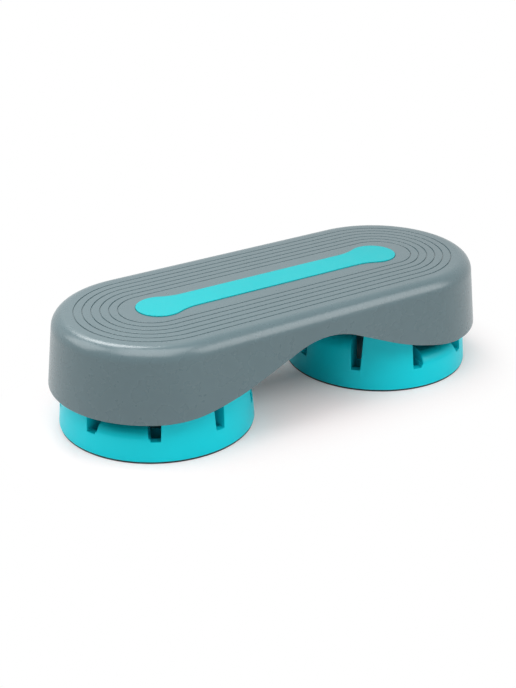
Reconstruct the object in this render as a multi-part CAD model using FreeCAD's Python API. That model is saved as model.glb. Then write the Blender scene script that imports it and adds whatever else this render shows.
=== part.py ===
import FreeCAD, Part
import math
import os

V = FreeCAD.Vector

# Deck: a stadium in plan, two end circles joined by straight sides, all lengths in millimetres
step_height = 162.5           # floor to the tread, with the legs on the high towers
end_offset = 190.0            # end-circle centre from the middle of the deck
skirt_half_width = 146.3      # half width at the skirt's lower edge
skirt_depth = 100.7           # top of the deck to the skirt's lower edge at the ends
skirt_draft_deg = 5.9
deck_edge_radius = 20.0
deck_wall = 3.5

# Arch: the bell-shaped rise of the skirt's lower edge along both long sides
arch_depth = 36.4             # top of the deck to the crown of the arch
arch_crown_radius = 123.5
arch_slope_deg = 22.5
arch_slope_end = 104.8        # where the straight slope gives way to the lower curve, from the middle

# Tread: fine grooves that follow the stadium
groove_count = 6
groove_inner_half_width = 48.1
groove_pitch = 11.8
groove_width = 1.5
groove_depth = 1.3

# Inlay: a dog-bone plate in the middle of the tread, a little proud of it
inlay_end_offset = 180.0
inlay_end_radius = 33.2
inlay_bar_half_width = 22.4
inlay_neck_radius = 71.0
inlay_proud = 1.2             # tread to the inlay's face
inlay_edge_radius = 0.6
inlay_gap = 0.5               # open line between the inlay and its recess
recess_depth = 2.5
recess_floor = 2.5            # deck wall under the inlay

# Inlay screws: driven from below into short posts on the back of the inlay
post_radius = 4.0
post_gap = 0.3
screw_radius = 1.5
screw_depth = 3.6             # shank length above the head
screw_tip_gap = 0.2
screw_head_radius = 6.0
screw_head_height = 1.8
thread_clearance = 0.05
end_screw_spread = 18.0       # end screws from the inlay's end-circle centre
bar_screw_offset = 25.0       # bar screws from the middle of the deck

# Feet: round crowns with towers of three heights, the same moulding at both ends
foot_base_radius = 135.0
foot_draft_deg = 5.0
foot_wall = 3.0
foot_ring_width = 43.0        # outer wall to the bore, at the floor
high_seat = 103.6             # floor to the top of the highest towers
seat_step = 26.2
shoulder_radius = 23.0
tower_count = 9
slot_floor = 31.0             # floor to the bottom of the slots between the towers
slot_width = 13.5             # at the bottom of the slots
slot_draft_deg = 2.8
slot_ledge = 11.0             # depth of the slots' bottoms, in from the outer wall
low_setback = 2.4             # how much further the low towers stand back from their slots
low_setback_rise = 3.5        # bottom of the slots to where the setback starts

# Floor rings: rubber treads under the feet
ring_thickness = 2.5
ring_inset = 1.0              # ring edge in from the foot's outer and inner walls
ring_rib_height = 4.0
ring_rib_width = 4.0
ring_rib_gap = 0.6

# Sockets: what the deck holds down to the feet
spigot_gap = 0.4              # between the centring spigot and the foot's bore
spigot_reach = 10.0           # how far the spigot dips into the foot's bore
socket_wall = 3.0
leg_half_angle_deg = 12.0
leg_inset = 1.0               # seat left clear beside a leg

# Ribs under the deck
rib_wall = 2.5
rib_depth = 22.0
cross_rib_pitch = 50.0
cross_rib_count = 3
long_rib_half_spacing = 46.0

overrun = 5.0                 # how far cutting shapes pass the faces they cut

skirt_edge = step_height - skirt_depth
deck_underside = step_height - deck_wall
deck_mid_wall = step_height - deck_wall / 2   # where ribs, legs and spigots end inside the deck's wall
recess_bottom = step_height - recess_depth
recess_underside = recess_bottom - recess_floor
foot_bore_radius = foot_base_radius - foot_ring_width
spigot_radius = foot_bore_radius - spigot_gap
seat_tops = {
    "high": high_seat,
    "middle": high_seat - seat_step,
    "low": high_seat - 2 * seat_step,
}
tower_order = ("middle", "high", "low")
tower_angle = 360.0 / tower_count
tower_levels = [tower_order[k % len(tower_order)] for k in range(tower_count)]
leg_angles = [tower_angle * (k + 0.5) for k, level in enumerate(tower_levels) if level == "high"]
ends = {"left": -1, "right": 1}
origin = V(0, 0, 0)
up = V(0, 0, 1)


def tan_deg(angle_deg):
    return math.tan(math.radians(angle_deg))


def on_circle(centre, radius, angle_deg):
    """A point of a circle in a plane section."""
    angle = math.radians(angle_deg)
    return (centre[0] + radius * math.cos(angle), centre[1] + radius * math.sin(angle))


def arc(centre, radius, start_deg, end_deg):
    """Start, middle and end of an arc in a plane section."""
    return [on_circle(centre, radius, angle) for angle in (start_deg, (start_deg + end_deg) / 2, end_deg)]


def profile_face(path):
    """A closed face in the XZ plane. Each entry of the path is an (x, z) point, or an arc's three points."""
    stretches = []
    for entry in path:
        points = entry if isinstance(entry, list) else [entry]
        stretches.append([V(x, 0, z) for x, z in points])
    edges = []
    for stretch, following in zip(stretches, stretches[1:] + stretches[:1]):
        if len(stretch) == 3:
            edges.append(Part.Arc(*stretch).toShape())
        if not stretch[-1].isEqual(following[0], Part.Precision.confusion()):
            edges.append(Part.LineSegment(stretch[-1], following[0]).toShape())
    return Part.Face(Part.Wire(edges))


def stadium_solid(path):
    """Sweep a closed (r, z) profile round the stadium: half a turn at each end, straight between them."""
    parts = []
    for side in ends.values():
        across = profile_face(path)
        across.rotate(origin, up, -90 * side)
        across.translate(V(side * end_offset, 0, 0))
        parts.append(across.revolve(V(side * end_offset, 0, 0), up, 180))
        parts.append(across.extrude(V(-side * 2 * end_offset, 0, 0)))
    return parts[0].fuse(parts[1:]).removeSplitter()


def box_between(low, high):
    size = high - low
    return Part.makeBox(size.x, size.y, size.z, low)


def wedge(inner, outer, low, high, middle_deg, half_deg):
    """A slice of a ring about the Z axis."""
    face = profile_face([(inner, low), (outer, low), (outer, high), (inner, high)])
    face.rotate(origin, up, middle_deg - half_deg)
    return face.revolve(origin, up, 2 * half_deg)


def tube(outer, inner, low, high):
    height = high - low
    return Part.makeCylinder(outer, height, V(0, 0, low)).cut(Part.makeCylinder(inner, height, V(0, 0, low)))


def at_end(shape, side):
    """Move a shape from the Z axis to an end of the deck: the right end is the left one turned round."""
    if side > 0:
        shape.rotate(origin, up, 180)
    shape.translate(V(side * end_offset, 0, 0))
    return shape


def deck_section(inset, low):
    """Half section of the deck's outside, moved inward by the inset and ended at the height given."""
    corner = skirt_half_width - skirt_depth * tan_deg(skirt_draft_deg)
    tangent = deck_edge_radius * tan_deg((90 - skirt_draft_deg) / 2)
    centre = (corner - tangent, step_height - deck_edge_radius)
    edge = arc(centre, deck_edge_radius - inset, 90, skirt_draft_deg)
    low_radius = edge[-1][0] + (edge[-1][1] - low) * tan_deg(skirt_draft_deg)
    return [(0, low), (0, step_height - inset), edge, (low_radius, low)]


def lower_edge_cut():
    """Everything below the skirt's lower edge: flat at the ends, a bell-shaped arch between them."""
    crown = (0, step_height - arch_depth - arch_crown_radius)
    crown_arc = arc(crown, arch_crown_radius, 90 + arch_slope_deg, 90 - arch_slope_deg)
    slope_low = crown_arc[-1][1] - (arch_slope_end - crown_arc[-1][0]) * tan_deg(arch_slope_deg)
    lower_radius = (slope_low - skirt_edge) / (1 - math.cos(math.radians(arch_slope_deg)))
    arch_end = arch_slope_end + lower_radius * math.sin(math.radians(arch_slope_deg))
    lower = (arch_end, skirt_edge + lower_radius)
    right_arc = arc(lower, lower_radius, 270 - arch_slope_deg, 270)
    left_arc = [(-x, z) for x, z in reversed(right_arc)]
    reach = end_offset + skirt_half_width + overrun
    low = skirt_edge - 2 * overrun
    left_side = [(-reach, low), (-reach, skirt_edge)]
    right_side = [(reach, skirt_edge), (reach, low)]
    face = profile_face(left_side + [left_arc, crown_arc, right_arc] + right_side)
    half_width = skirt_half_width + overrun
    face.translate(V(0, -half_width, 0))
    return face.extrude(V(0, 2 * half_width, 0))


def dogbone(outset, low, high):
    """The inlay's outline as a plate: two round ends, a straight bar and hollow necks between them."""
    end_radius = inlay_end_radius + outset
    bar = inlay_bar_half_width + outset
    neck_radius = inlay_neck_radius - outset
    reach = inlay_end_radius + inlay_neck_radius
    rise = inlay_bar_half_width + inlay_neck_radius
    neck_x = inlay_end_offset - math.sqrt(reach ** 2 - rise ** 2)
    turn = math.degrees(math.asin(rise / reach))
    join = on_circle((inlay_end_offset, 0), end_radius, 180 - turn)
    half_turn = on_circle((neck_x, rise), neck_radius, (270 + 360 - turn) / 2)
    end_tip = (inlay_end_offset + end_radius, 0)
    start = (neck_x, bar)

    def corner(point, x_sign, y_sign):
        return V(point[0] * x_sign, point[1] * y_sign, low)

    edges = []
    for sign in (1, -1):
        edges.append(Part.LineSegment(corner(start, -sign, sign), corner(start, sign, sign)))
        edges.append(Part.Arc(*[corner(p, sign, sign) for p in (start, half_turn, join)]))
        tip = corner(end_tip, sign, sign)
        edges.append(Part.Arc(corner(join, sign, sign), tip, corner(join, sign, -sign)))
        edges.append(Part.Arc(*[corner(p, sign, -sign) for p in (join, half_turn, start)]))
    wire = Part.Wire(Part.__sortEdges__([edge.toShape() for edge in edges]))
    return Part.Face(wire).extrude(V(0, 0, high - low))


def screw_places():
    places = []
    for side in ends.values():
        near, far = inlay_end_offset - end_screw_spread, inlay_end_offset + end_screw_spread
        places += [V(side * offset, 0, 0) for offset in (bar_screw_offset, near, far)]
    return places


def pin_at(place, radius, low, high):
    return Part.makeCylinder(radius, high - low, V(place.x, place.y, low))


def rib_between(start, end):
    """A straight rib under the deck along X or Y."""
    half = V(rib_wall / 2, 0, 0) if start.x == end.x else V(0, rib_wall / 2, 0)
    low, high = V(0, 0, deck_underside - rib_depth), V(0, 0, deck_mid_wall)
    return box_between(start - half + low, end + half + high)


def socket():
    """What meets a foot: a round spigot for its bore and three hollow legs for its high towers."""
    top = deck_mid_wall
    leg_outer = shoulder_centre(high_seat)[0] - leg_inset
    shape = tube(spigot_radius, spigot_radius - socket_wall, high_seat - spigot_reach, top)
    hollow_half_deg = leg_half_angle_deg - math.degrees(socket_wall / spigot_radius)
    legs = []
    for angle in leg_angles:
        block = wedge(spigot_radius - socket_wall, leg_outer, high_seat, top, angle, leg_half_angle_deg)
        core = wedge(spigot_radius, leg_outer - socket_wall, high_seat, top, angle, hollow_half_deg)
        legs.append(block.cut(core))
    chords = []
    for side in (-1, 1):
        y = side * long_rib_half_spacing
        rib = rib_between(V(-spigot_radius, y, 0), V(spigot_radius, y, 0))
        chords.append(rib.common(Part.makeCylinder(spigot_radius, step_height)))
    return shape.fuse(legs + chords)


def deck_ribs():
    """The rib grid under the middle of the deck."""
    half_span = cross_rib_pitch * (cross_rib_count - 1) / 2
    ribs = []
    for k in range(cross_rib_count):
        x = k * cross_rib_pitch - half_span
        ribs.append(rib_between(V(x, -skirt_half_width, 0), V(x, skirt_half_width, 0)))
    for side in (-1, 1):
        y = side * long_rib_half_spacing
        ribs.append(rib_between(V(-half_span, y, 0), V(half_span, y, 0)))
    return ribs


def deck_shell():
    outside = stadium_solid(deck_section(0, skirt_edge - overrun))
    inside = stadium_solid(deck_section(deck_wall, skirt_edge - 2 * overrun))
    tray = dogbone(inlay_gap + deck_wall, recess_underside, deck_mid_wall)
    kept = deck_ribs() + [at_end(socket(), side) for side in ends.values()] + [tray]
    cuts = [inside.cut(kept), lower_edge_cut(), dogbone(inlay_gap, recess_bottom, step_height + overrun)]
    post_hole_radius = post_radius + post_gap
    for place in screw_places():
        cuts.append(pin_at(place, post_hole_radius, recess_underside - overrun, recess_bottom + overrun))
    for k in range(groove_count):
        middle = groove_inner_half_width + k * groove_pitch
        near, far = middle - groove_width / 2, middle + groove_width / 2
        floor, above = step_height - groove_depth, step_height + overrun
        cuts.append(stadium_solid([(near, floor), (far, floor), (far, above), (near, above)]))
    return outside.cut(cuts)


def deck_inlay():
    plate = dogbone(0, recess_bottom, step_height + inlay_proud)
    rim = [edge for edge in plate.Edges if edge.BoundBox.ZMin > step_height]
    plate = plate.makeFillet(inlay_edge_radius, rim)
    bore_radius = screw_radius + thread_clearance
    bore_top = recess_underside + screw_depth + screw_tip_gap
    posts = [pin_at(place, post_radius, recess_underside, recess_bottom) for place in screw_places()]
    bores = [pin_at(place, bore_radius, recess_underside, bore_top) for place in screw_places()]
    return plate.fuse(posts).cut(bores)


def inlay_screws():
    screws = []
    for place in screw_places():
        head = pin_at(place, screw_head_radius, recess_underside - screw_head_height, recess_underside)
        shank = pin_at(place, screw_radius, recess_underside, recess_underside + screw_depth)
        screws.append(head.fuse(shank))
    return Part.makeCompound(screws)


def foot_wall_radius(height):
    return foot_base_radius - (height - ring_thickness) * tan_deg(foot_draft_deg)


def shoulder_centre(top):
    """Centre of the round shoulder of a tower, in the r-z plane."""
    draft = math.radians(foot_draft_deg)
    tangent_height = top - shoulder_radius + shoulder_radius * math.sin(draft)
    return (foot_wall_radius(tangent_height) - shoulder_radius * math.cos(draft), top - shoulder_radius)


def tower_section(top, inset, low):
    """Section of a tower: drafted outer wall, round shoulder, flat seat and upright bore wall."""
    shoulder = arc(shoulder_centre(top), shoulder_radius - inset, foot_draft_deg, 90)
    low_radius = shoulder[0][0] + (shoulder[0][1] - low) * tan_deg(foot_draft_deg)
    bore = foot_bore_radius + inset
    return [(bore, low), (low_radius, low), shoulder, (bore, top - inset)]


def slot_cut(k, widening, low):
    """The space of a slot from a height upward, widened on both sides."""
    half_widths = []
    for height in (low, high_seat + overrun):
        spread = (height - slot_floor) * tan_deg(slot_draft_deg)
        half_widths.append((slot_width / 2 + widening + spread, height))
    (near, bottom), (far, top) = half_widths
    corners = [V(0, y, z) for y, z in ((-near, bottom), (near, bottom), (far, top), (-far, top))]
    cut = Part.Face(Part.makePolygon(corners + corners[:1])).extrude(V(foot_base_radius + overrun, 0, 0))
    cut.rotate(origin, up, k * tower_angle)
    return cut


def slot_ledge_plate(k):
    """The bottom of a slot, just behind the outer wall."""
    half_width = slot_width / 2 + foot_wall
    inner = foot_wall_radius(slot_floor) - slot_ledge
    plate = box_between(
        V(inner, -half_width, slot_floor - foot_wall), V(foot_base_radius + overrun, half_width, slot_floor))
    plate.rotate(origin, up, k * tower_angle)
    return plate


def cheek_cuts(k, wall):
    """What the slots on both sides of tower k take from it, where a wall is left beside them.

    The low towers stand further back from their slots than the others.
    """
    cuts = [slot_cut(slot, wall, slot_floor) for slot in (k, k + 1)]
    if tower_levels[k] == "low":
        low = slot_floor + low_setback_rise - wall
        cuts += [slot_cut(slot, low_setback + wall, low) for slot in (k, k + 1)]
    return cuts


def foot():
    """A ring of hollow towers, three heights in turn, with a slot between each two and open from below.

    Each tower is closed towards its slots by cheeks, and each slot ends on a ledge behind the outer wall.
    """
    shells = []
    hollows = []
    for k, level in enumerate(tower_levels):
        for group, wall, low in ((shells, 0, ring_thickness), (hollows, foot_wall, ring_thickness - overrun)):
            face = profile_face(tower_section(seat_tops[level], wall, low))
            face.rotate(origin, up, k * tower_angle)
            group.append(face.revolve(origin, up, tower_angle).cut(cheek_cuts(k, wall)))
    ledges = [slot_ledge_plate(k) for k in range(tower_count)]
    hollow = hollows[0].fuse(hollows[1:]).cut(ledges)
    return shells[0].fuse(shells[1:]).cut(hollow).removeSplitter()


def floor_ring():
    """A flat rubber ring with two ribs that stand inside the foot's walls."""
    rib_top = ring_thickness + ring_rib_height
    outer = foot_base_radius - ring_inset
    inner = foot_bore_radius + ring_inset
    rib_outer = foot_wall_radius(rib_top) - foot_wall / math.cos(math.radians(foot_draft_deg)) - ring_rib_gap
    rib_inner = foot_bore_radius + foot_wall + ring_rib_gap
    path = [(inner, 0), (outer, 0), (outer, ring_thickness)]
    for far, near in ((rib_outer, rib_outer - ring_rib_width), (rib_inner + ring_rib_width, rib_inner)):
        path += [(far, ring_thickness), (far, rib_top), (near, rib_top), (near, ring_thickness)]
    path.append((inner, ring_thickness))
    return profile_face(path).revolve(origin, up, 360)


def pieces():
    found = {"deck_shell": deck_shell(), "deck_inlay": deck_inlay(), "inlay_screws": inlay_screws()}
    for name, side in ends.items():
        found[name + "_foot"] = at_end(foot(), side)
        found[name + "_floor_ring"] = at_end(floor_ring(), side)
    return found


os.makedirs("parts", exist_ok=True)
for node, shape in pieces().items():
    print(node, len(shape.Solids), "solids, valid", shape.isValid(), "volume", round(shape.Volume))
    shape.exportStep("parts/" + node + ".step")
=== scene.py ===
# %% [markdown]
# # Aerobic step platform
#
# A low exercise step. A grey moulded deck with a deep skirt stands on two round turquoise feet, and a
# turquoise inlay lies along its tread. Each foot has a crown of towers at three heights, which set how
# high the step stands, and a rubber ring underneath.
#
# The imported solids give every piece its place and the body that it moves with. They have plain edges, so
# each moulding is modelled again here, with the rounded edges, lips and surfaces of the real one.

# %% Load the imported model
import math

import bmesh
import bpy
from mathutils import Matrix, Vector


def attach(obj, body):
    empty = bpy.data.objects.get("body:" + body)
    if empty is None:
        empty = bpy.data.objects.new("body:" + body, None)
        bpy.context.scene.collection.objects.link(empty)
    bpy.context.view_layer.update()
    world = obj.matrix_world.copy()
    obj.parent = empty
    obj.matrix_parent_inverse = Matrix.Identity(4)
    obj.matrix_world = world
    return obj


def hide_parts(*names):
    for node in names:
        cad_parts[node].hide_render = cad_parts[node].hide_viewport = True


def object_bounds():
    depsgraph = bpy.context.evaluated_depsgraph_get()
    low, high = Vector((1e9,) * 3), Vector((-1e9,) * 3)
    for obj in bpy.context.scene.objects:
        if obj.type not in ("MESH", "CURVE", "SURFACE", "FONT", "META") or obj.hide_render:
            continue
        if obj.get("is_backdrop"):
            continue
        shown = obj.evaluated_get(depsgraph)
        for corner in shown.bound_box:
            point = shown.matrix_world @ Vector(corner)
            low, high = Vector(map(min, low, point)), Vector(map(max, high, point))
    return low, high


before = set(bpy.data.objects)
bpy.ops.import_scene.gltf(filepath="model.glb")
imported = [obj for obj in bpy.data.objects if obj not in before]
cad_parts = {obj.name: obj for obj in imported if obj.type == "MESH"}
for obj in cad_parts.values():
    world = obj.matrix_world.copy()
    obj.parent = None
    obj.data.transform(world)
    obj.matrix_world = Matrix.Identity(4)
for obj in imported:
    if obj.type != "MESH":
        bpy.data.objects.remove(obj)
solid_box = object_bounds()

# %% [markdown]
# ## Drawing and picking
#
# Most pieces of this step are swept sections: a line goes round an axis or along the deck. Such a line
# starts as a plane merged to a single vertex, and grows as that vertex is extruded from point to point.
# After that, edges and faces are picked by where they lie, because in a script there is no mouse to click
# them with.

# %% Draw a line, sweep it and close the mesh
MM = 0.001
UP = (0, 0, 1)
SAME_PLACE = 0.02 * MM         # vertices this near to each other are merged


def begin_line(name, start):
    """A plane merged to one vertex, in edit mode, at the start of a line."""
    bpy.ops.object.select_all(action="DESELECT")
    bpy.ops.mesh.primitive_plane_add(size=MM)
    piece = bpy.context.object
    piece.name = piece.data.name = name
    bpy.ops.object.mode_set(mode="EDIT")
    bpy.ops.mesh.select_mode(type="VERT")
    bpy.ops.mesh.merge(type="CENTER")
    bpy.ops.transform.translate(value=start)
    return piece


def draw_on(points):
    """Extrude the selected vertex from each point to the next."""
    for here, there in zip(points, points[1:]):
        move = Vector(there) - Vector(here)
        bpy.ops.mesh.extrude_vertices_move(TRANSFORM_OT_translate={"value": move})


def extrude(move):
    """Extrude what is selected, and move it."""
    bpy.ops.mesh.extrude_region_move(TRANSFORM_OT_translate={"value": move})


def merge_doubles():
    """In edit mode, select everything and merge the vertices that lie on each other."""
    bpy.ops.mesh.select_all(action="SELECT")
    bpy.ops.mesh.remove_doubles(threshold=SAME_PLACE)


def close_mesh():
    """Merge doubled vertices and point all faces outwards, then leave edit mode."""
    merge_doubles()
    bpy.ops.mesh.normals_make_consistent(inside=False)
    bpy.ops.object.mode_set(mode="OBJECT")


print("one unit is a metre, a millimetre is", MM)

# %% Pick parts of a mesh, and whole pieces
SAME_HEIGHT = 0.01 * MM        # points this near to a height count as level with it


def level(point, height):
    """Whether a point lies at a height."""
    return abs(point.z - height) < SAME_HEIGHT


def pick(kind, test):
    """In edit mode, select and count the vertices, edges or faces that pass a test on (middle, element)."""
    bpy.ops.mesh.select_mode(type=kind)
    bpy.ops.mesh.select_all(action="DESELECT")
    mesh = bpy.context.object.data
    shape = bmesh.from_edit_mesh(mesh)
    elements = {"VERT": shape.verts, "EDGE": shape.edges, "FACE": shape.faces}[kind]
    for element in elements:
        corners = [element] if kind == "VERT" else element.verts
        middle = sum((corner.co for corner in corners), Vector()) / len(corners)
        if test(middle, element):
            element.select_set(True)
    shape.select_flush_mode()
    bmesh.update_edit_mesh(mesh)
    return sum(element.select for element in elements)


def select_only(*pieces):
    """Select these pieces and nothing else. The first one is active."""
    bpy.ops.object.select_all(action="DESELECT")
    for piece in pieces:
        piece.select_set(True)
    bpy.context.view_layer.objects.active = pieces[0]


print("points are level within", SAME_HEIGHT / MM, "mm")

# %% [markdown]
# ## Edges of moulded plastic
#
# No edge of a moulding is sharp: the tool is polished, and the plastic shrinks as it cools. A Bevel modifier
# rounds every edge above an angle, and that thin round is what catches the light. The Weighted Normal
# modifier then lets large flat faces keep their shading, so that the small rounds don't bend it.

# %% Round the edges, then give the piece its finish and its body
SHARP = math.radians(38)       # edges above this angle are rounded, or stay sharp to the eye


def soften(piece, width, segments=2):
    """Round the sharp edges by a width, and shade the faces smooth."""
    select_only(piece)
    if width:
        rounding = piece.modifiers.new("moulded edges", "BEVEL")
        rounding.width = width
        rounding.segments = segments
        rounding.limit_method = "ANGLE"
        rounding.angle_limit = SHARP
        bpy.ops.object.modifier_apply(modifier=rounding.name)
    bpy.ops.object.shade_smooth_by_angle(angle=SHARP)
    weighting = piece.modifiers.new("flat faces first", "WEIGHTED_NORMAL")
    weighting.keep_sharp = True
    bpy.ops.object.modifier_apply(modifier=weighting.name)


def dress(piece, material, slot, body, *nodes):
    """Give a finished piece its material and body, and hide the solids that it stands for."""
    piece.data.materials.clear()
    piece.data.materials.append(material)
    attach(piece, body)
    if nodes:
        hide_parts(*nodes)
    print(piece.name, "rides on", body, "with", len(piece.data.polygons), "faces")


print("an edge is sharp above", round(math.degrees(SHARP)), "degrees")

# %% [markdown]
# ## Finishes
#
# The deck is polypropylene, moulded against a spark-eroded tool. That tool leaves a fine even grain, which
# turns a clear reflection into a soft sheen. The colour is mixed into the plastic, and it drifts a little
# where the melt flowed together. An image could show all that, but it would need an unwrapped surface. Noise
# in space fits any shape.
#
# The grain is really about 0.3 mm wide. From two metres away that is far under a pixel, so it is drawn three
# times as coarse. All patterns read Object coordinates, so they stay on the piece when it moves.

# %% Colours and nodes
def linear(colour):
    """An sRGB hex colour as the linear colour that a shader's socket takes."""
    channels = [int(colour[k:k + 2], 16) / 255 for k in (1, 3, 5)]
    return [c / 12.92 if c <= 0.04045 else ((c + 0.055) / 1.055) ** 2.4 for c in channels] + [1]


def add_node(tree, kind, sockets, **settings):
    """Add a node with its settings. A socket is given a value, or the output that it is linked to."""
    node = tree.nodes.new(kind)
    for name, value in settings.items():
        setattr(node, name, value)
    for socket, value in sockets.items():
        if isinstance(value, bpy.types.NodeSocket):
            tree.links.new(value, node.inputs[socket])
        else:
            node.inputs[socket].default_value = value
    return node


def new_finish(name):
    """A material with an empty node tree, and that tree."""
    material = bpy.data.materials.new(name)
    material.use_nodes = True
    material.node_tree.nodes.clear()
    return material, material.node_tree


print("sRGB #808080 is", round(linear("#808080")[0], 3), "in linear light")

# %% Moulded plastic, and the deck's grey
FLOW = 130 * MM                # where streams of melt met
HANDLING = 22 * MM             # patches that hands and shoes have polished a little
NOISE_RANGE = (0.3, 0.7)       # nearly all values of a noise lie between these
PLASTIC_IOR = 1.49


def moulded_plastic(name, shades, grain_size, relief, roughness, specular):
    """A plastic that drifts between two shades, and between two values of roughness."""
    material, tree = new_finish(name)
    place = add_node(tree, "ShaderNodeTexCoord", {}).outputs["Object"]
    grain = add_node(tree, "ShaderNodeTexNoise", {"Vector": place, "Scale": 1 / grain_size, "Detail": 2.0})
    flow = add_node(tree, "ShaderNodeTexNoise", {"Vector": place, "Scale": 1 / FLOW, "Detail": 3.0})
    hands = add_node(tree, "ShaderNodeTexNoise", {"Vector": place, "Scale": 1 / HANDLING, "Detail": 4.0})
    tint = add_node(
        tree, "ShaderNodeMix", {0: flow.outputs["Fac"], 6: linear(shades[0]), 7: linear(shades[1])},
        data_type="RGBA",
    )
    gloss = add_node(
        tree, "ShaderNodeMapRange",
        {"Value": hands.outputs["Fac"], "From Min": NOISE_RANGE[0], "From Max": NOISE_RANGE[1],
         "To Min": roughness[0], "To Max": roughness[1]},
    )
    bumps = add_node(
        tree, "ShaderNodeBump", {"Height": grain.outputs["Fac"], "Strength": relief[0], "Distance": relief[1]}
    )
    shader = add_node(
        tree, "ShaderNodeBsdfPrincipled",
        {"Base Color": tint.outputs[2], "Roughness": gloss.outputs["Result"],
         "Normal": bumps.outputs["Normal"], "IOR": PLASTIC_IOR, "Specular IOR Level": specular},
    )
    add_node(tree, "ShaderNodeOutputMaterial", {"Surface": shader.outputs["BSDF"]})
    print("made", material.name)
    return material


deck_plastic = moulded_plastic(
    "polypropylene_spark_grain_grey", ("#536a70", "#5a7177"),
    grain_size=0.9 * MM, relief=(0.05, 0.06 * MM), roughness=(0.26, 0.29), specular=0.75,
)

# %% [markdown]
# The feet are the same plastic in turquoise, with a finer grain because they are never trodden on. The inlay
# is a separate thin moulding with a duller face, in a slightly deeper turquoise. All three are made by one
# function, because they differ only in numbers.

# %% Turquoise plastics
foot_plastic = moulded_plastic(
    "polypropylene_fine_grain_turquoise", ("#02d6e4", "#04deec"),
    grain_size=0.7 * MM, relief=(0.18, 0.04 * MM), roughness=(0.34, 0.42), specular=0.2,
)
inlay_plastic = moulded_plastic(
    "abs_satin_turquoise", ("#14b2b8", "#17bac0"),
    grain_size=0.6 * MM, relief=(0.18, 0.04 * MM), roughness=(0.40, 0.46), specular=0.2,
)

# %% [markdown]
# The rings are black rubber from a compression mould: dull, with a slightly uneven skin. The screws are zinc
# plated steel, a bright metal that is blurred by the crystals of the plating. Noise is right for the skin,
# which has no edges. Crystals do have edges, so the steel has Voronoi cells.

# %% Rubber
SKIN = 1.2 * MM                # the rubber's uneven skin
DUST = 18 * MM                 # paler patches of dust on it
ring_rubber, tree = new_finish("compression_moulded_rubber_black")
place = add_node(tree, "ShaderNodeTexCoord", {}).outputs["Object"]
skin = add_node(tree, "ShaderNodeTexNoise", {"Vector": place, "Scale": 1 / SKIN, "Detail": 3.0})
dust = add_node(tree, "ShaderNodeTexNoise", {"Vector": place, "Scale": 1 / DUST, "Detail": 4.0})
tint = add_node(
    tree, "ShaderNodeMix", {0: dust.outputs["Fac"], 6: linear("#161719"), 7: linear("#222427")},
    data_type="RGBA",
)
relief = add_node(
    tree, "ShaderNodeBump", {"Height": skin.outputs["Fac"], "Strength": 0.35, "Distance": 0.1 * MM}
)
shader = add_node(
    tree, "ShaderNodeBsdfPrincipled",
    {"Base Color": tint.outputs[2], "Normal": relief.outputs["Normal"], "Roughness": 0.78, "IOR": 1.52},
)
add_node(tree, "ShaderNodeOutputMaterial", {"Surface": shader.outputs["BSDF"]})
print("made", ring_rubber.name)

# %% Plated steel
CRYSTAL = 0.8 * MM             # drawn coarser than the zinc's real crystals, so that they show
screw_steel, tree = new_finish("zinc_plated_steel")
place = add_node(tree, "ShaderNodeTexCoord", {}).outputs["Object"]
crystals = add_node(tree, "ShaderNodeTexVoronoi", {"Vector": place, "Scale": 1 / CRYSTAL})
tint = add_node(
    tree, "ShaderNodeMix", {0: crystals.outputs["Distance"], 6: linear("#b4b8bd"), 7: linear("#c9ccd0")},
    data_type="RGBA",
)
gloss = add_node(
    tree, "ShaderNodeMapRange", {"Value": crystals.outputs["Distance"], "To Min": 0.26, "To Max": 0.42}
)
shader = add_node(
    tree, "ShaderNodeBsdfPrincipled",
    {"Base Color": tint.outputs[2], "Roughness": gloss.outputs["Result"], "Metallic": 1.0},
)
add_node(tree, "ShaderNodeOutputMaterial", {"Surface": shader.outputs["BSDF"]})
print("made", screw_steel.name)

# %% [markdown]
# ## Deck moulding
#
# The deck is a stadium in plan: two half circles joined by straight sides. Its section is the same all the
# way round: the grooved tread, a large round edge, a skirt that flares a little so that the moulding leaves
# its tool, a rounded lip, and the inside again. So the section is drawn once, as one line, and swept: half a
# turn by Spin, along the side by Extrude, half a turn, and back.

# %% The skirt: its slope, its round top edge and its rows
DECK_TOP = 162.5 * MM
SKIRT_EDGE = 61.8 * MM         # height of the skirt's lower edge at the ends
SKIRT_HALF_WIDTH = 146.3 * MM
SKIRT_DRAFT = math.radians(5.9)
EDGE_RADIUS = 20 * MM
LIP_ROUND = 1.6 * MM
SKIRT_ROWS = 9
SUPPORT = 0.7 * MM             # a row beside each round, which keeps the flat beside it flat


def skirt_radius(height, inset=0):
    """How far the skirt's outside, or a line inset from it, is from the deck's middle line."""
    return SKIRT_HALF_WIDTH - (height - SKIRT_EDGE) * math.tan(SKIRT_DRAFT) - inset / math.cos(SKIRT_DRAFT)


corner = skirt_radius(DECK_TOP)
bend = (corner - EDGE_RADIUS * math.tan((math.pi / 2 - SKIRT_DRAFT) / 2), DECK_TOP - EDGE_RADIUS)
BEND_LOW = bend[1] + EDGE_RADIUS * math.sin(SKIRT_DRAFT)
LIP_TOP = SKIRT_EDGE + LIP_ROUND * (1 + math.sin(SKIRT_DRAFT))
row_step = (BEND_LOW - LIP_TOP) / SKIRT_ROWS
rows = [BEND_LOW - SUPPORT]
rows += [BEND_LOW - row_step * k for k in range(1, SKIRT_ROWS)]
rows.append(LIP_TOP + SUPPORT)
print("skirt from", round(SKIRT_EDGE / MM, 1), "to", round(BEND_LOW / MM, 1), "mm, in", len(rows), "rows")

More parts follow.
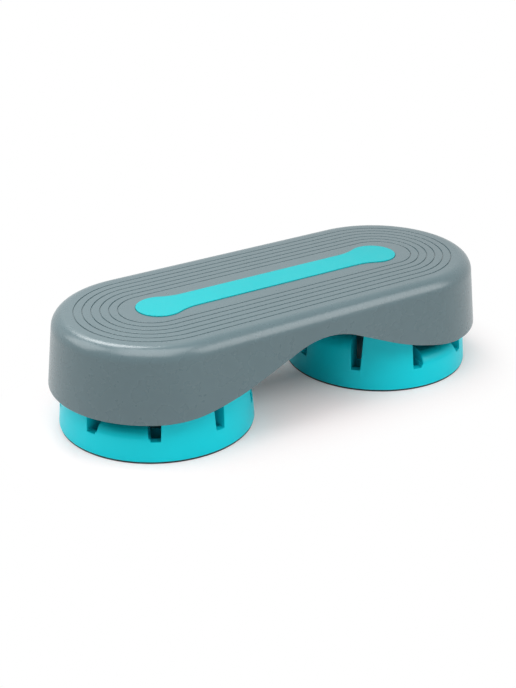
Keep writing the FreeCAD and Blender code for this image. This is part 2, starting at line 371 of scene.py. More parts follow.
# %% The deck's section, from the tread round the lip to the underside
DECK_WALL = 3.5 * MM
INNER_LIP_ROUND = 0.8 * MM
TREAD_INNER = 42.2 * MM        # where the sweep ends, between the inlay and the first groove
UNDERSIDE_INNER = 44 * MM
GROOVES = 6
FIRST_GROOVE = 48.1 * MM
GROOVE_SPACING = 11.8 * MM
GROOVE_DEPTH = 1.3 * MM
GROOVE_SHOULDER = 0.14 * MM    # depth of the rounded shoulder above a groove's wall
# Half a groove: each point's distance from the groove's middle, and its depth under the tread.
GROOVE_SIDE = [(1.0 * MM, 0), (0.8 * MM, GROOVE_SHOULDER), (0.6 * MM, GROOVE_DEPTH)]
groove_line = [(-out, depth) for out, depth in GROOVE_SIDE] + GROOVE_SIDE[::-1]


def arc(centre, radius, start, end, steps):
    """Points of an arc in a section. The angles are in radians."""
    angles = [start + (end - start) * k / steps for k in range(steps + 1)]
    return [(centre[0] + radius * math.cos(a), centre[1] + radius * math.sin(a)) for a in angles]


section = [(TREAD_INNER, DECK_TOP)]
for k in range(GROOVES):
    groove = FIRST_GROOVE + GROOVE_SPACING * k
    section += [(groove + out, DECK_TOP - depth) for out, depth in groove_line]
section.append((bend[0] - SUPPORT, DECK_TOP))
section += arc(bend, EDGE_RADIUS, math.pi / 2, SKIRT_DRAFT, steps=14)
section += [(skirt_radius(z), z) for z in rows]
lip = (skirt_radius(SKIRT_EDGE + LIP_ROUND, LIP_ROUND), SKIRT_EDGE + LIP_ROUND)
section += arc(lip, LIP_ROUND, SKIRT_DRAFT, -math.pi / 2, steps=6)
inner_lip_height = SKIRT_EDGE + INNER_LIP_ROUND
inner_lip = (skirt_radius(inner_lip_height, DECK_WALL - INNER_LIP_ROUND), inner_lip_height)
section += arc(inner_lip, INNER_LIP_ROUND, 1.5 * math.pi, math.pi + SKIRT_DRAFT, steps=4)
section += [(skirt_radius(z, DECK_WALL), z) for z in reversed(rows)]
section += arc(bend, EDGE_RADIUS - DECK_WALL, SKIRT_DRAFT, math.pi / 2, steps=7)
section.append((UNDERSIDE_INNER, DECK_TOP - DECK_WALL))
print("the deck's section has", len(section), "points")

# %% Sweep it round the stadium
END_OFFSET = 190 * MM          # end-circle centre from the middle of the deck
TURN_STEPS = 48
SIDE_STEPS = 48
line = [(END_OFFSET, -r, z) for r, z in section]
deck = begin_line("deck_moulding", line[0])
draw_on(line)
bpy.ops.mesh.select_all(action="SELECT")
for side in (1, -1):
    bpy.ops.mesh.spin(steps=TURN_STEPS, angle=-math.pi, center=(side * END_OFFSET, 0, 0), axis=UP)
    for step in range(SIDE_STEPS):
        extrude((-side * 2 * END_OFFSET / SIDE_STEPS, 0, 0))
close_mesh()
print("the swept deck has", len(deck.data.polygons), "faces")

# %% [markdown]
# Along both long sides the lower edge rises in a bell-shaped arch: a round crown, a straight slope and a
# long hollow curve. Cutting it with a Boolean would leave ragged faces just where the lip catches the light.
# So the rows of the skirt are moved up instead: the lip as it is, and the rows above it by their share. A
# row that goes up also goes in, along the slope of the skirt.

# %% Raise the skirt's lower edge to the arch
CROWN_DROP = 36.4 * MM         # the arch's highest point, under the tread
CROWN_RADIUS = 123.5 * MM
ARCH_SLOPE = math.radians(22.5)
SLOPE_END = 104.8 * MM         # from the middle of the step, as the other lengths of the arch
CROWN_TOP = DECK_TOP - CROWN_DROP
crown_end = CROWN_RADIUS * math.sin(ARCH_SLOPE)
crown_end_height = CROWN_TOP - CROWN_RADIUS * (1 - math.cos(ARCH_SLOPE))
slope_end_height = crown_end_height - (SLOPE_END - crown_end) * math.tan(ARCH_SLOPE)
HOLLOW_RADIUS = (slope_end_height - SKIRT_EDGE) / (1 - math.cos(ARCH_SLOPE))
ARCH_END = SLOPE_END + HOLLOW_RADIUS * math.sin(ARCH_SLOPE)


def lower_edge(x):
    """Height of the skirt's lower edge, along the step."""
    x = abs(x)
    if x < crown_end:
        return CROWN_TOP - CROWN_RADIUS + math.sqrt(CROWN_RADIUS ** 2 - x ** 2)
    if x < SLOPE_END:
        return crown_end_height - (x - crown_end) * math.tan(ARCH_SLOPE)
    if x < ARCH_END:
        return SKIRT_EDGE + HOLLOW_RADIUS - math.sqrt(HOLLOW_RADIUS ** 2 - (ARCH_END - x) ** 2)
    return SKIRT_EDGE


for vertex in deck.data.vertices:
    point = vertex.co.copy()
    if point.z >= BEND_LOW:
        continue
    spine = Vector((max(-END_OFFSET, min(END_OFFSET, point.x)), 0, point.z))
    reach = (point - spine).length
    outward = (point - spine).normalized()
    share = min(1, (BEND_LOW - point.z) / (BEND_LOW - LIP_TOP))
    lift = share * (lower_edge(spine.x + outward.x * SKIRT_HALF_WIDTH) - SKIRT_EDGE)
    vertex.co = spine + outward * (reach - lift * math.tan(SKIRT_DRAFT)) + Vector((0, 0, lift))
print("the arch is", round((CROWN_TOP - SKIRT_EDGE) / MM, 1), "mm high, and ends at", round(ARCH_END / MM))

# %% [markdown]
# The inlay lies in a recess shaped like a dog bone: round ends, a straight bar, and hollow necks between
# them. A quarter of that outline is one vertex that is extruded along the bar, spun round the neck's centre,
# and spun back round the end's centre. Two mirrors make it whole. The same outline serves the recess, the
# tray under it and the inlay, each a little wider or narrower.

# %% The dog-bone outline
BONE_END = 180 * MM
BONE_END_RADIUS = 33.2 * MM
BONE_BAR = 22.4 * MM           # half the bar's width
BONE_NECK_RADIUS = 71 * MM
RECESS_DEPTH = 2.5 * MM
INLAY_PROUD = 1.2 * MM         # the inlay's face above the tread
INLAY_GAP = 0.5 * MM


def dogbone(name, outset, height):
    """A closed line in the shape of the inlay, wider all round by the outset."""
    rise = BONE_BAR + BONE_NECK_RADIUS
    reach = BONE_END_RADIUS + BONE_NECK_RADIUS
    neck = BONE_END - math.sqrt(reach ** 2 - rise ** 2)
    turn = math.asin(rise / reach)
    bar_line = [(0, BONE_BAR + outset, height), (neck, BONE_BAR + outset, height)]
    outline = begin_line(name, bar_line[0])
    draw_on(bar_line)
    bpy.ops.mesh.spin(steps=12, angle=turn - math.pi / 2, center=(neck, rise, height), axis=UP)
    bpy.ops.mesh.spin(steps=30, angle=math.pi - turn, center=(BONE_END, 0, height), axis=UP)
    bpy.ops.object.mode_set(mode="OBJECT")
    mirror = outline.modifiers.new("both halves", "MIRROR")
    mirror.use_axis[1] = True
    mirror.merge_threshold = SAME_PLACE
    bpy.ops.object.modifier_apply(modifier=mirror.name)
    return outline


def open_edge(height):
    """A test for edges at a height that have no face, or a face on one side only."""
    return lambda middle, edge: level(middle, height) and len(edge.link_faces) < 2


def sink_dogbone(height, outset, depth):
    """Fill the deck up to a dog-bone outline, and step down inside it."""
    outline = dogbone("recess_outline", outset, height)
    select_only(deck, outline)
    bpy.ops.object.join()
    bpy.ops.object.mode_set(mode="EDIT")
    pick("EDGE", open_edge(height))
    bpy.ops.mesh.fill(use_beauty=True)
    count = pick("EDGE", open_edge(height))
    extrude((0, 0, -depth))
    bpy.ops.mesh.edge_face_add()
    print("outline of", count, "edges goes down by", round(depth / MM, 2), "mm")


print("the inlay is", round(2 * (BONE_END + BONE_END_RADIUS) / MM, 1), "mm long")

# %% The inlay's recess and the tray under it
TRAY_WALL = 3.5 * MM
TRAY_DEPTH = 1.5 * MM
RECESS_ROUND = 0.3 * MM
sink_dogbone(DECK_TOP, INLAY_GAP, RECESS_DEPTH)


def recess_rim(middle, edge):
    """The edge between the tread and the recess's wall."""
    joins_two = level(middle, DECK_TOP) and len(edge.link_faces) == 2
    return joins_two and edge.calc_face_angle() > SHARP and abs(middle.y) < TREAD_INNER


pick("EDGE", recess_rim)
bpy.ops.mesh.bevel(offset=RECESS_ROUND, segments=2)
bpy.ops.object.mode_set(mode="OBJECT")
sink_dogbone(DECK_TOP - DECK_WALL, INLAY_GAP + TRAY_WALL, TRAY_DEPTH)
close_mesh()
soften(deck, 0)
dress(deck, deck_plastic, "deck_plastic", "deck", "deck_shell")

# %% [markdown]
# ## Inside the deck
#
# Nobody sees the inside until the deck is lifted off its feet. Then there are, at each end, a round spigot
# that centres the foot and three hollow legs that stand on the foot's towers, and a grid of ribs that keeps
# the tread stiff. The spigot is a swept section. A leg is a slice of a flat ring, inset to its wall and
# extruded. A rib is a flat outline that is extruded to its thickness, with its top corners rounded to stay
# inside the deck's round edge.

# %% Spigots
SEAT = 103.6 * MM              # top of the high towers, where the legs stand
SPIGOT_RADIUS = 91.6 * MM
SPIGOT_REACH = 10 * MM         # how far a spigot goes down into its foot
SPIGOT_ROUND = 0.8 * MM
SOCKET_WALL = 3 * MM
SPIGOT_LOW = SEAT - SPIGOT_REACH
INSIDE_TOP = DECK_TOP - DECK_WALL / 2   # inside the tread, so that nothing shows a gap
RING_STEPS = 144


def swept_ring(name, outline):
    """A closed (r, z) outline, spun once round the Z axis."""
    line = [(r, 0, z) for r, z in outline]
    ring = begin_line(name, line[0])
    draw_on(line + line[:1])
    merge_doubles()
    bpy.ops.mesh.spin(steps=RING_STEPS, angle=-2 * math.pi, center=(0, 0, 0), axis=UP)
    close_mesh()
    return ring


spigot_inner = SPIGOT_RADIUS - SOCKET_WALL
spigot = swept_ring("spigot", [
    (spigot_inner, SPIGOT_LOW), (SPIGOT_RADIUS, SPIGOT_LOW),
    (SPIGOT_RADIUS, INSIDE_TOP), (spigot_inner, INSIDE_TOP),
])
soften(spigot, SPIGOT_ROUND)
print("spigot:", len(spigot.data.polygons), "faces")

# %% Legs
LEG_OUTER = 104 * MM
LEG_HALF_ANGLE = math.radians(12)
LEG_ROUND = 0.6 * MM
leg_side = Vector((math.cos(LEG_HALF_ANGLE), -math.sin(LEG_HALF_ANGLE), 0))
leg_start = [leg_side * radius + Vector((0, 0, SEAT)) for radius in (spigot_inner, LEG_OUTER)]
leg = begin_line("leg", leg_start[0])
draw_on(leg_start)
bpy.ops.mesh.select_all(action="SELECT")
bpy.ops.mesh.spin(steps=10, angle=-2 * LEG_HALF_ANGLE, center=(0, 0, 0), axis=UP)
bpy.ops.mesh.select_mode(type="FACE")
bpy.ops.mesh.select_all(action="SELECT")
bpy.ops.mesh.inset(thickness=SOCKET_WALL)
bpy.ops.mesh.delete(type="FACE")
bpy.ops.mesh.select_all(action="SELECT")
extrude((0, 0, INSIDE_TOP - SEAT))
close_mesh()
soften(leg, LEG_ROUND)
print("leg:", len(leg.data.polygons), "faces")

# %% Set them at both ends
LEG_ANGLES = (60, 180, 300)
ENDS = (("left", 0, -END_OFFSET), ("right", 180, END_OFFSET))   # name, half turn or none, place along X


def copy_of(piece, turn_deg, offset):
    """A copy with its own mesh, turned about Z and moved along X, with its place in the mesh."""
    select_only(piece)
    bpy.ops.object.duplicate()
    copy = bpy.context.object
    copy.matrix_world = Matrix.Translation((offset, 0, 0)) @ Matrix.Rotation(math.radians(turn_deg), 4, "Z")
    bpy.ops.object.transform_apply(location=True, rotation=True, scale=True)
    return copy


def join_as(name, pieces):
    """Join pieces into one, under a new name."""
    select_only(*pieces)
    bpy.ops.object.join()
    joined = bpy.context.object
    joined.name = joined.data.name = name
    return joined


sockets = []
for end, turn, offset in ENDS:
    sockets.append(copy_of(spigot, turn, offset))
    sockets += [copy_of(leg, turn + angle, offset) for angle in LEG_ANGLES]
deck_sockets = join_as("deck_sockets", sockets)
for pattern in (spigot, leg):
    bpy.data.objects.remove(pattern)
dress(deck_sockets, deck_plastic, "deck_plastic", "deck")

# %% Ribs
RIB_WALL = 2.5 * MM
RIB_DEPTH = 22 * MM            # under the tread's inside
RIB_LOW = DECK_TOP - DECK_WALL - RIB_DEPTH
RIB_ROUND = 0.5 * MM
CROSS_RIBS = (-50 * MM, 0, 50 * MM)
LONG_RIB = 46 * MM             # from the deck's middle line


def rib(outline, thickness):
    """A flat outline, given as points in space, extruded to the rib's thickness."""
    piece = begin_line("rib", outline[0])
    draw_on(outline + outline[:1])
    merge_doubles()
    bpy.ops.mesh.edge_face_add()
    extrude(thickness)
    close_mesh()
    return piece


ribs = []
half_end = [(skirt_radius(RIB_LOW, DECK_WALL / 2), RIB_LOW)]
half_end += arc(bend, EDGE_RADIUS - DECK_WALL / 2, SKIRT_DRAFT, math.pi / 2, steps=6)
cross_outline = half_end + [(-y, z) for y, z in reversed(half_end)]
for x in CROSS_RIBS:
    ribs.append(rib([(x - RIB_WALL / 2, y, z) for y, z in cross_outline], (RIB_WALL, 0, 0)))
# Each long rib has a stretch between the outer cross ribs, and one inside each spigot.
chord = math.sqrt(spigot_inner ** 2 - LONG_RIB ** 2) + RIB_WALL / 2
spans = [(CROSS_RIBS[0], CROSS_RIBS[-1])]
spans += [(side * END_OFFSET - chord, side * END_OFFSET + chord) for side in (-1, 1)]
for side in (-1, 1):
    y = side * LONG_RIB - RIB_WALL / 2
    for low, high in spans:
        corners = [(low, y, RIB_LOW), (high, y, RIB_LOW), (high, y, INSIDE_TOP), (low, y, INSIDE_TOP)]
        ribs.append(rib(corners, (0, RIB_WALL, 0)))
deck_ribs = join_as("deck_ribs", ribs)
soften(deck_ribs, RIB_ROUND)
dress(deck_ribs, deck_plastic, "deck_plastic", "deck")

# %% [markdown]
# ## Inlay and its screws
#
# The inlay is a thin plate that fills the recess up to a fine dark gap and stands a little proud of the
# tread. Its face is bare. Six short screws hold it from below: pan heads with a cross recess, which is cut
# by a plus-shaped block.

# %% Inlay
INLAY_ROUND = 0.6 * MM
inlay = dogbone("inlay_plate", 0, DECK_TOP + INLAY_PROUD)
bpy.ops.object.mode_set(mode="EDIT")
bpy.ops.mesh.select_all(action="SELECT")
bpy.ops.mesh.edge_face_add()
extrude((0, 0, -INLAY_PROUD - RECESS_DEPTH))
close_mesh()
soften(inlay, INLAY_ROUND, segments=3)
dress(inlay, inlay_plastic, "inlay_plastic", "deck", "deck_inlay")

# %% One screw
HEAD_RADIUS = 6 * MM
HEAD_HEIGHT = 1.8 * MM
HEAD_ROUND = 1.1 * MM
SHANK_RADIUS = 1.5 * MM
SHANK_LENGTH = 3.6 * MM
HEAD_TOP = DECK_TOP - DECK_WALL - TRAY_DEPTH
FACING = 0.9                   # a face looks along an axis if its normal has this much of it
bpy.ops.object.select_all(action="DESELECT")
head_middle = (0, 0, HEAD_TOP - HEAD_HEIGHT / 2)
bpy.ops.mesh.primitive_cylinder_add(
    vertices=32, radius=HEAD_RADIUS, depth=HEAD_HEIGHT, location=head_middle
)
screw = bpy.context.object
bpy.ops.object.transform_apply(location=True, rotation=True, scale=True)
bpy.ops.object.mode_set(mode="EDIT")
pick("FACE", lambda middle, face: face.normal.z > FACING)
bpy.ops.mesh.inset(thickness=HEAD_RADIUS - SHANK_RADIUS)
extrude((0, 0, SHANK_LENGTH))
pick("EDGE", lambda middle, edge: level(middle, HEAD_TOP - HEAD_HEIGHT))
bpy.ops.mesh.bevel(offset=HEAD_ROUND, segments=4)
bpy.ops.object.mode_set(mode="OBJECT")
print("screw without its recess:", len(screw.data.polygons), "faces")

# %% Its cross recess
CROSS_ARM = 1.9 * MM
CROSS_HALF = 0.5 * MM          # half an arm's width
CROSS_DEPTH = 1.1 * MM
bpy.ops.object.select_all(action="DESELECT")
bpy.ops.mesh.primitive_cube_add(size=2 * CROSS_HALF, location=(0, 0, 0))
cross = bpy.context.object
bpy.ops.object.mode_set(mode="EDIT")


def arm_end(axis, sign):
    """A test for the face that looks out along an axis, with its middle on that axis."""
    return lambda middle, face: face.normal[axis] * sign > FACING and abs(middle[1 - axis]) < SAME_PLACE


for axis in (0, 1):
    for sign in (-1, 1):
        pick("FACE", arm_end(axis, sign))
        move = Vector((0, 0, 0))
        move[axis] = sign * (CROSS_ARM - CROSS_HALF)
        extrude(move)
bpy.ops.mesh.select_all(action="SELECT")
cross_middle = HEAD_TOP - HEAD_HEIGHT + CROSS_DEPTH - CROSS_HALF
bpy.ops.transform.translate(value=(0, 0, cross_middle))
pick("VERT", lambda middle, vertex: middle.z < cross_middle)
bpy.ops.transform.translate(value=(0, 0, -CROSS_DEPTH))
bpy.ops.object.mode_set(mode="OBJECT")
select_only(screw)
cutting = screw.modifiers.new("cross recess", "BOOLEAN")
cutting.object = cross
bpy.ops.object.modifier_apply(modifier=cutting.name)
bpy.data.objects.remove(cross)
soften(screw, 0)
print("screw:", len(screw.data.polygons), "faces")

# %% Six screws in one piece
SCREW_NEAR_MIDDLE = 25 * MM
SCREW_SPREAD = 18 * MM         # each side of the centre of the inlay's round end
SCREW_OFFSETS = (SCREW_NEAR_MIDDLE, BONE_END - SCREW_SPREAD, BONE_END + SCREW_SPREAD)
screws = [copy_of(screw, 0, side * offset) for side in (-1, 1) for offset in SCREW_OFFSETS]
inlay_screws = join_as("inlay_screw_set", screws)
bpy.data.objects.remove(screw)
dress(inlay_screws, screw_steel, "screw_steel", "deck", "inlay_screws")

# %% [markdown]
# ## Feet
#
# A foot is a ring with nine upright slots, and between them nine towers at three heights that repeat. The
# slots could be cut out of a solid ring with Booleans, but that leaves thin ragged faces on the round
# shoulders beside them. Here they are left out instead. A flat ring of faces is spun first, divided into
# columns, of which two make a slot. The tower faces are extruded up, level by level along their shoulders,
# and the edges of the ring are extruded down to the base.
#
# At the end every vertex is set to its true radius, and the columns beside a slot are moved so that it is
# equally wide from front to back and a little wider at the top, as it leaves the moulding tool. The low
# towers stand back from their slots by a narrow step.

# %% The ring at the level of the slots' floors
FOOT_BASE = 2.5 * MM           # top of the rubber ring
FOOT_RADIUS = 135 * MM
FOOT_DRAFT = math.radians(5)
FOOT_WALL = 3 * MM
BORE_RADIUS = 92 * MM
SLOT_FLOOR = 31 * MM
SLOT_HALF_WIDTH = 6.75 * MM
SLOT_DRAFT = math.radians(2.8)
SLOT_LEDGE = 11 * MM           # the slot's floor in front of its open well
LOW_STEP = 2.4 * MM            # width of the step beside the low towers
LOW_STEP_HEIGHT = 3.5 * MM
LOW_STEP_TOP = SLOT_FLOOR + LOW_STEP_HEIGHT
SHOULDER = 23 * MM             # radius of a tower's round shoulder
SEATS = {"low": 51.2 * MM, "middle": 77.4 * MM, "high": SEAT}
TOWER_ORDER = ("middle", "high", "low")
TOWERS = 9
# Columns from one slot's middle to the next. The first and the last are half slots.
COLUMNS = RING_STEPS // TOWERS


def wall_radius(height):
    """Radius of the foot's drafted outside."""
    return FOOT_RADIUS - (height - FOOT_BASE) * math.tan(FOOT_DRAFT)


bore_wall = BORE_RADIUS + FOOT_WALL
rim = wall_radius(SLOT_FLOOR)
ledge_back = rim - SLOT_LEDGE
line = [(r, 0, SLOT_FLOOR) for r in (BORE_RADIUS, bore_wall, ledge_back, rim)]
foot = begin_line("foot_pattern", line[0])
draw_on(line)
bpy.ops.mesh.select_all(action="SELECT")
bpy.ops.mesh.spin(steps=RING_STEPS, angle=-2 * math.pi, center=(0, 0, 0), axis=UP)
merge_doubles()
print("ring of", RING_STEPS, "columns and", len(line) - 1, "bands")

# %% Raise the towers
SHOULDER_STEPS = 12


def column_of(point):
    """The slot that a face lies at or after, and its column counted from that slot's middle."""
    angle = math.degrees(math.atan2(point.y, point.x)) % 360
    column = int(angle / (360 / RING_STEPS))
    return column // COLUMNS, column % COLUMNS


def tower_kind(slot):
    """Whether the tower after a slot is a low, middle or high one."""
    return TOWER_ORDER[slot % len(TOWER_ORDER)]


def shoulder_centre(top):
    """Centre of the round shoulder of a tower with a given top, as (r, z)."""
    tangent = top - SHOULDER + SHOULDER * math.sin(FOOT_DRAFT)
    return wall_radius(tangent) - SHOULDER * math.cos(FOOT_DRAFT), top - SHOULDER


def tower_faces(kind, height, columns):
    """A test for the flat faces at a height, on the towers of one kind and in a range of columns."""
    def test(middle, face):
        slot, column = column_of(middle)
        flat = all(level(corner.co, height) for corner in face.verts)
        return flat and column in columns and tower_kind(slot) == kind
    return test


for kind, top in SEATS.items():
    shoulder = arc(shoulder_centre(top), SHOULDER, FOOT_DRAFT, math.pi / 2, SHOULDER_STEPS)
    heights = [shoulder[0][1] - SUPPORT] + [z for r, z in shoulder]
    height = SLOT_FLOOR
    count = pick("FACE", tower_faces(kind, height, range(1, COLUMNS - 1)))
    if kind == "low":
        extrude((0, 0, LOW_STEP_TOP - height))
        height = LOW_STEP_TOP
        count = pick("FACE", tower_faces(kind, height, range(2, COLUMNS - 2)))
    for next_height in heights:
        # A level less than SUPPORT above the last one is left out. That holds for the end of the round too,
        # so a tower stops 0.7 mm below its seat.
        if next_height > height + SUPPORT:
            extrude((0, 0, next_height - height))
            height = next_height
    print(kind, "towers:", count, "faces raised to", round(height / MM, 1), "mm")

# %% Lower the walls, and close the foot underneath
BASE_ROUND = 1.2 * MM
WALL_ROW = 18 * MM             # height of the row half way down the wall
GROOVE_CEILING = 10 * MM       # the groove underneath, which takes the rubber ring's ribs
groove_outer = FOOT_RADIUS - FOOT_WALL
corner_height = FOOT_BASE + BASE_ROUND
base_corner = (wall_radius(corner_height) - BASE_ROUND / math.cos(FOOT_DRAFT), corner_height)
outer_path = [(wall_radius(z), z) for z in (SLOT_FLOOR, WALL_ROW, FOOT_BASE + 2 * BASE_ROUND)]
outer_path += arc(base_corner, BASE_ROUND, FOOT_DRAFT, -math.pi / 2, steps=4)
outer_path += [
    (groove_outer, FOOT_BASE), (groove_outer, GROOVE_CEILING), (ledge_back, GROOVE_CEILING),
    (bore_wall, GROOVE_CEILING), (bore_wall, FOOT_BASE), (BORE_RADIUS, FOOT_BASE),
]


def extrude_ring(path):
    """Extrude the selected ring of edges along a path of (r, z) points."""
    for (r, z), (next_r, next_z) in zip(path, path[1:]):
        extrude((0, 0, next_z - z))
        bpy.ops.transform.resize(value=(next_r / r, next_r / r, 1), center_override=(0, 0, 0))


def rim_at(radius):
    """A test for the ring's open edges at the level of the slots' floors, at a radius."""
    def test(middle, edge):
        return edge.is_boundary and level(middle, SLOT_FLOOR) and abs(middle.xy.length - radius) < MM
    return test


print("outer edges:", pick("EDGE", rim_at(rim)))
extrude_ring(outer_path)
print("bore edges:", pick("EDGE", rim_at(BORE_RADIUS)))
extrude_ring([(BORE_RADIUS, SLOT_FLOOR), (BORE_RADIUS, FOOT_BASE)])

# %% Open the slots down to the rubber ring
TOWER_ANGLE = 2 * math.pi / TOWERS


def slot_well(slot):
    """A test for a slot's floor behind its ledge, and for the groove's ceiling under it."""
    def test(middle, face):
        nearest = round(math.atan2(middle.y, middle.x) / TOWER_ANGLE) % TOWERS
        on_slot = nearest == slot and column_of(middle)[1] in (0, COLUMNS - 1)
        flat = level(middle, SLOT_FLOOR) or level(middle, GROOVE_CEILING)
        return on_slot and flat and bore_wall < middle.xy.length < ledge_back
    return test


for slot in range(TOWERS):
    count = pick("FACE", slot_well(slot))
    bpy.ops.mesh.bridge_edge_loops()
close_mesh()
print("faces in the last well:", count, "and in the foot:", len(foot.data.polygons))

# %% Set the true radii and the slots' widths
TOP_BAND = 100 * MM            # where the towers' flat seats have their middle row of vertices
FOOT_ROUND = 0.7 * MM


def tower_radius(top, height):
    """Radius of a tower's outside: the drafted wall, then the round shoulder."""
    centre_r, centre_z = shoulder_centre(top)
    if height < centre_z + SHOULDER * math.sin(FOOT_DRAFT):
        return wall_radius(height)
    return centre_r + math.sqrt(max(0, SHOULDER ** 2 - (height - centre_z) ** 2))


def column_angle(column, radius, height):
    """Angle of a column from its slot's middle. A tower's first column is as wide as the low step."""
    if column > COLUMNS / 2:
        return TOWER_ANGLE - column_angle(COLUMNS - column, radius, height)
    half_width = SLOT_HALF_WIDTH + max(0, height - SLOT_FLOOR) * math.tan(SLOT_DRAFT)
    sides = [0, math.asin(half_width / radius), math.asin((half_width + LOW_STEP) / radius)]
    if column < 3:
        return sides[column]
    return sides[2] + (TOWER_ANGLE / 2 - sides[2]) * (column - 2) / (COLUMNS / 2 - 2)


for vertex in foot.data.vertices:
    x, y, z = vertex.co
    radius = math.hypot(x, y)
    step = round(math.atan2(y, x) / (TOWER_ANGLE / COLUMNS)) % RING_STEPS
    tower, column = divmod(step, COLUMNS)
    above_floor = z > SLOT_FLOOR + SAME_HEIGHT
    if above_floor and radius > ledge_back + MM:
        radius = tower_radius(SEATS[tower_kind(tower)], z)
    elif above_floor and radius > bore_wall + MM:
        radius = TOP_BAND
    angle = tower * TOWER_ANGLE + column_angle(column, radius, z)
    vertex.co.x = radius * math.cos(angle)
    vertex.co.y = radius * math.sin(angle)
soften(foot, FOOT_ROUND)
print("foot:", len(foot.data.polygons), "faces")

# %% Both feet
for end, turn, offset in ENDS:
    piece = copy_of(foot, turn, offset)
    piece.name = piece.data.name = end + "_foot_moulding"
    dress(piece, foot_plastic, "foot_plastic", end + "_foot", end + "_foot")
bpy.data.objects.remove(foot)

# %% [markdown]
# ## Rubber rings
#
# Under each foot lies a flat rubber ring, set a millimetre in from the wall, so that only a thin dark line
# of it shows. Two ribs on it stand in the groove under the foot and keep it in place. The ring is the same
# all the way round, so it is one more swept section.

# %% Rubber rings
RING_OUTER = 134 * MM
RING_INNER = 93 * MM
RING_RIB_TOP = 6.5 * MM
RING_ROUND = 0.6 * MM
RING_RIBS = ((127.3 * MM, 131.3 * MM), (95.6 * MM, 99.6 * MM))   # inner and outer radius of each
outline = arc((RING_INNER + RING_ROUND, RING_ROUND), RING_ROUND, math.pi, 1.5 * math.pi, steps=3)
outline += arc((RING_OUTER - RING_ROUND, RING_ROUND), RING_ROUND, -math.pi / 2, 0, steps=3)
outline.append((RING_OUTER, FOOT_BASE))
for near, far in RING_RIBS:
    outline += [(far, FOOT_BASE), (far, RING_RIB_TOP), (near, RING_RIB_TOP), (near, FOOT_BASE)]
outline.append((RING_INNER, FOOT_BASE))
ring = swept_ring("floor_ring", outline)
soften(ring, 0)
for end, turn, offset in ENDS:
    piece = copy_of(ring, turn, offset)
    piece.name = piece.data.name = end + "_rubber_ring"
    dress(piece, ring_rubber, "ring_rubber", "floor_rings", end + "_floor_ring")
bpy.data.objects.remove(ring)

# %% [markdown]
# ## Floor, light and camera
#
# The step stands on a matt white floor. To the eye that floor is an overexposed background: it shows the
# shadow near the step, and fades to plain white a hand's width away. More lamps would do that too, but they
# would bleach the step. So it is done in the floor's material, for what is seen straight or as a reflection,
# and the light that the floor sheds on the step stays that of matt paint. Two more things are for the eye
# alone. A little red balances the turquoise light that the feet throw on the floor, so that the shadow is
# grey. And inside the feet the floor stays matt, so that the slots look dark.

# %% Where the floor turns white
DEEP_SHADE = 60 * MM           # from here inwards to the deck's middle line, the shadow gets darker
FADE_START = 105 * MM          # from here outwards, the shadow fades
FADE_END = 235 * MM            # from here on, the floor is plain white
WHITE_MIDDLE = 0.08            # share of plain white on the middle line
WHITE_BESIDE = 0.2             # and between the deep shade and the fade
FLOOR_SIZE = 16                # metres
bpy.ops.object.select_all(action="DESELECT")
bpy.ops.mesh.primitive_plane_add(size=FLOOR_SIZE)
floor = bpy.context.object
floor.name = floor.data.name = "white_floor"
floor_paint, tree = new_finish("matt_white_sweep")
place = add_node(tree, "ShaderNodeTexCoord", {}).outputs["Object"]
quarter = add_node(tree, "ShaderNodeVectorMath", {0: place}, operation="ABSOLUTE")
beyond = add_node(
    tree, "ShaderNodeVectorMath", {0: quarter.outputs[0], 1: (END_OFFSET, 0, 0)}, operation="SUBTRACT"
)
outward = add_node(tree, "ShaderNodeVectorMath", {0: beyond.outputs[0], 1: (0, 0, 0)}, operation="MAXIMUM")
away = add_node(tree, "ShaderNodeVectorMath", {0: outward.outputs[0]}, operation="LENGTH").outputs["Value"]
middle_share = add_node(
    tree, "ShaderNodeMapRange",
    {"Value": away, "From Max": DEEP_SHADE, "To Min": WHITE_MIDDLE, "To Max": WHITE_BESIDE},
)
fade_share = add_node(
    tree, "ShaderNodeMapRange",
    {"Value": away, "From Min": FADE_START, "From Max": FADE_END, "To Max": 1 - WHITE_BESIDE},
    interpolation_type="SMOOTHSTEP",
)
white_share = add_node(
    tree, "ShaderNodeMath",
    {0: middle_share.outputs["Result"], 1: fade_share.outputs["Result"]}, operation="ADD",
)
foot_axis = add_node(tree, "ShaderNodeVectorMath", {0: beyond.outputs[0]}, operation="LENGTH")
outside_feet = add_node(
    tree, "ShaderNodeMath", {0: foot_axis.outputs["Value"], 1: RING_OUTER - MM}, operation="GREATER_THAN"
)
print("floor of", FLOOR_SIZE, "m, plain white from", round(FADE_END / MM), "mm on")

# %% The floor's layers
matt = add_node(tree, "ShaderNodeBsdfDiffuse", {"Color": linear("#fafafa")}).outputs["BSDF"]
red = add_node(tree, "ShaderNodeBsdfDiffuse", {"Color": linear("#5d0a00")}).outputs["BSDF"]
balanced = add_node(tree, "ShaderNodeAddShader", {0: matt, 1: red})
white = add_node(tree, "ShaderNodeEmission", {"Color": linear("#ffffff"), "Strength": 1.0})
background = add_node(
    tree, "ShaderNodeMixShader",
    {0: white_share.outputs["Value"], 1: balanced.outputs["Shader"], 2: white.outputs["Emission"]},
)


def seen_rays(tree):
    """1 for the rays that show a surface as a picture: straight, mirrored or through glass. Otherwise 0."""
    rays = add_node(tree, "ShaderNodeLightPath", {})
    seen = rays.outputs["Is Camera Ray"]
    for ray in ("Is Glossy Ray", "Is Transmission Ray"):
        either = add_node(tree, "ShaderNodeMath", {0: seen, 1: rays.outputs[ray]}, operation="MAXIMUM")
        seen = either.outputs["Value"]
    return seen


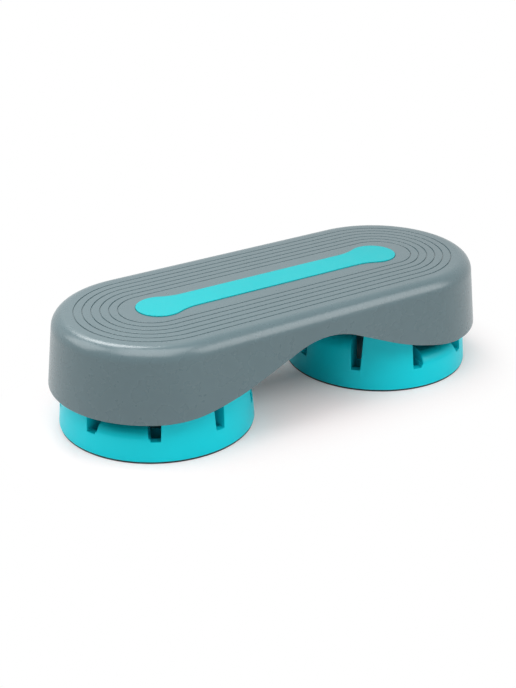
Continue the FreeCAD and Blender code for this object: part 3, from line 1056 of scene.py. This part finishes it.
for_the_eye = add_node(
    tree, "ShaderNodeMath", {0: seen_rays(tree), 1: outside_feet.outputs["Value"]}, operation="MULTIPLY"
)
layers = add_node(
    tree, "ShaderNodeMixShader",
    {0: for_the_eye.outputs["Value"], 1: matt, 2: background.outputs["Shader"]},
)
add_node(tree, "ShaderNodeOutputMaterial", {"Surface": layers.outputs["Shader"]})
floor.data.materials.append(floor_paint)
floor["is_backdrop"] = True
print("made", floor_paint.name)

# %% [markdown]
# Four softboxes light the step. One behind it and one at the back left throw the shadow forward, under the
# arch. One high at the front left lights the tread and the left end, and a large one at the front right
# gives the long streak on the deck's round edge. The world adds a faint even light, and is white to the eye.

# %% Soft surround
SURROUND = 0.16                # strength of the world's light on the step
world = bpy.data.worlds.new("white_studio")
bpy.context.scene.world = world
world.use_nodes = True
tree = world.node_tree
tree.nodes.clear()
strength = add_node(
    tree, "ShaderNodeMapRange", {"Value": seen_rays(tree), "To Min": SURROUND, "To Max": 1.0}
)
sky = add_node(
    tree, "ShaderNodeBackground", {"Color": linear("#ffffff"), "Strength": strength.outputs["Result"]}
)
add_node(tree, "ShaderNodeOutputWorld", {"Surface": sky.outputs["Background"]})
print("made", world.name)

# %% Softboxes
def softbox(name, azimuth, elevation, distance, size, watts):
    """A square area light that faces the step. The angles are in degrees, from +X and from the floor."""
    turn = math.radians(azimuth)
    rise = math.radians(elevation)
    away = Vector((math.cos(turn) * math.cos(rise), math.sin(turn) * math.cos(rise), math.sin(rise)))
    bpy.ops.object.select_all(action="DESELECT")
    bpy.ops.object.light_add(type="AREA", location=away * distance)
    lamp = bpy.context.object
    lamp.name = name
    lamp.data.size = size
    lamp.data.energy = watts
    lamp.rotation_euler = away.to_track_quat("Z", "Y").to_euler()
    print(name, watts, "W")


softbox("back_softbox", azimuth=90, elevation=54, distance=2.2, size=0.8, watts=14)
softbox("back_left_softbox", azimuth=150, elevation=40, distance=1.5, size=0.85, watts=6)
softbox("front_left_softbox", azimuth=-140, elevation=66, distance=1.2, size=1.0, watts=8.8)
softbox("front_right_softbox", azimuth=-50, elevation=38, distance=2.2, size=1.4, watts=18)

# %% [markdown]
# The camera stands where the photograph was taken from. Its place and lens were worked out from the six
# grooves, which are stadiums round one middle line, and from the outline of the step. Setting a camera by eye
# is quicker, but then a small error of angle looks like an error of shape.

# %% Camera at the photograph's place
VIEWPOINT = Vector((-0.9826, -1.4569, 0.8702))
LOOKS_AT = Vector((-0.0403, -0.0269, 0.0825))
FOCAL_LENGTH = 70.235          # in mm, as the sensor's width
SENSOR_WIDTH = 36
bpy.ops.object.select_all(action="DESELECT")
bpy.ops.object.camera_add(location=VIEWPOINT)
camera = bpy.context.object
camera.rotation_euler = (LOOKS_AT - VIEWPOINT).to_track_quat("-Z", "Y").to_euler()
camera.data.lens = FOCAL_LENGTH
camera.data.sensor_width = SENSOR_WIDTH
bpy.context.scene.camera = camera
bpy.context.scene.view_settings.view_transform = "Standard"
print("camera", round((LOOKS_AT - VIEWPOINT).length, 2), "m from the step")

# %% [markdown]
#
# The dressed step should keep the size of the imported solids. Both boxes are printed, in mm.

# %% Print the two boxes
dressed_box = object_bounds()
boxes = {"cad": [list(corner) for corner in solid_box], "visual": [list(corner) for corner in dressed_box]}
for name, (low, high) in boxes.items():
    print(name, "box in mm:", [round((b - a) / MM, 1) for a, b in zip(low, high)])
